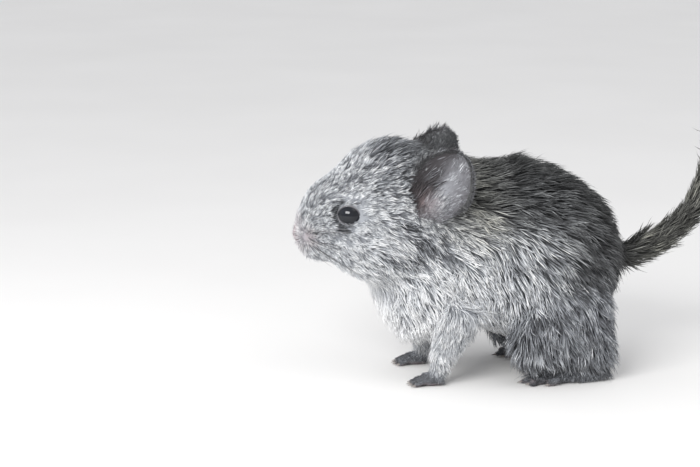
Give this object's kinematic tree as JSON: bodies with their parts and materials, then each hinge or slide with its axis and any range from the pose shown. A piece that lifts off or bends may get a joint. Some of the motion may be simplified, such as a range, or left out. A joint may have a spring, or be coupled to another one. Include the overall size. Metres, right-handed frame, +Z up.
{
  "type": "chinchilla kit",
  "caption": "Life-size still model of a young grey chinchilla standing on all fours, head low and level, large round ears laid back and furry tail turned up.",
  "frame": {"origin": "on the floor under the middle of the model's bounding box", "axes": "+Z up from the floor, -Y towards the nose, +X to the animal's own left"},
  "size_m": [0.0502, 0.1348, 0.075],
  "materials": {
    "fur": "soft grey coat",
    "ear_skin": "thin matt skin with fine hairs",
    "nose_skin": "soft pink skin",
    "eye": "wet gloss"
  },
  "bodies": {
    "root": {"head": "fur", "neck": "fur", "trunk": "fur", "tail_base": "fur", "tail_middle": "fur", "tail_tip": "fur", "foreleg_left": "fur", "foreleg_right": "fur", "forepaw_left": "fur", "forepaw_right": "fur", "hindleg_left": "fur", "hindleg_right": "fur", "hindfoot_left": "fur", "hindfoot_right": "fur", "ear_left": "ear_skin", "ear_right": "ear_skin", "nose": "nose_skin", "eye_left": "eye", "eye_right": "eye"}
  },
  "joints": []
}
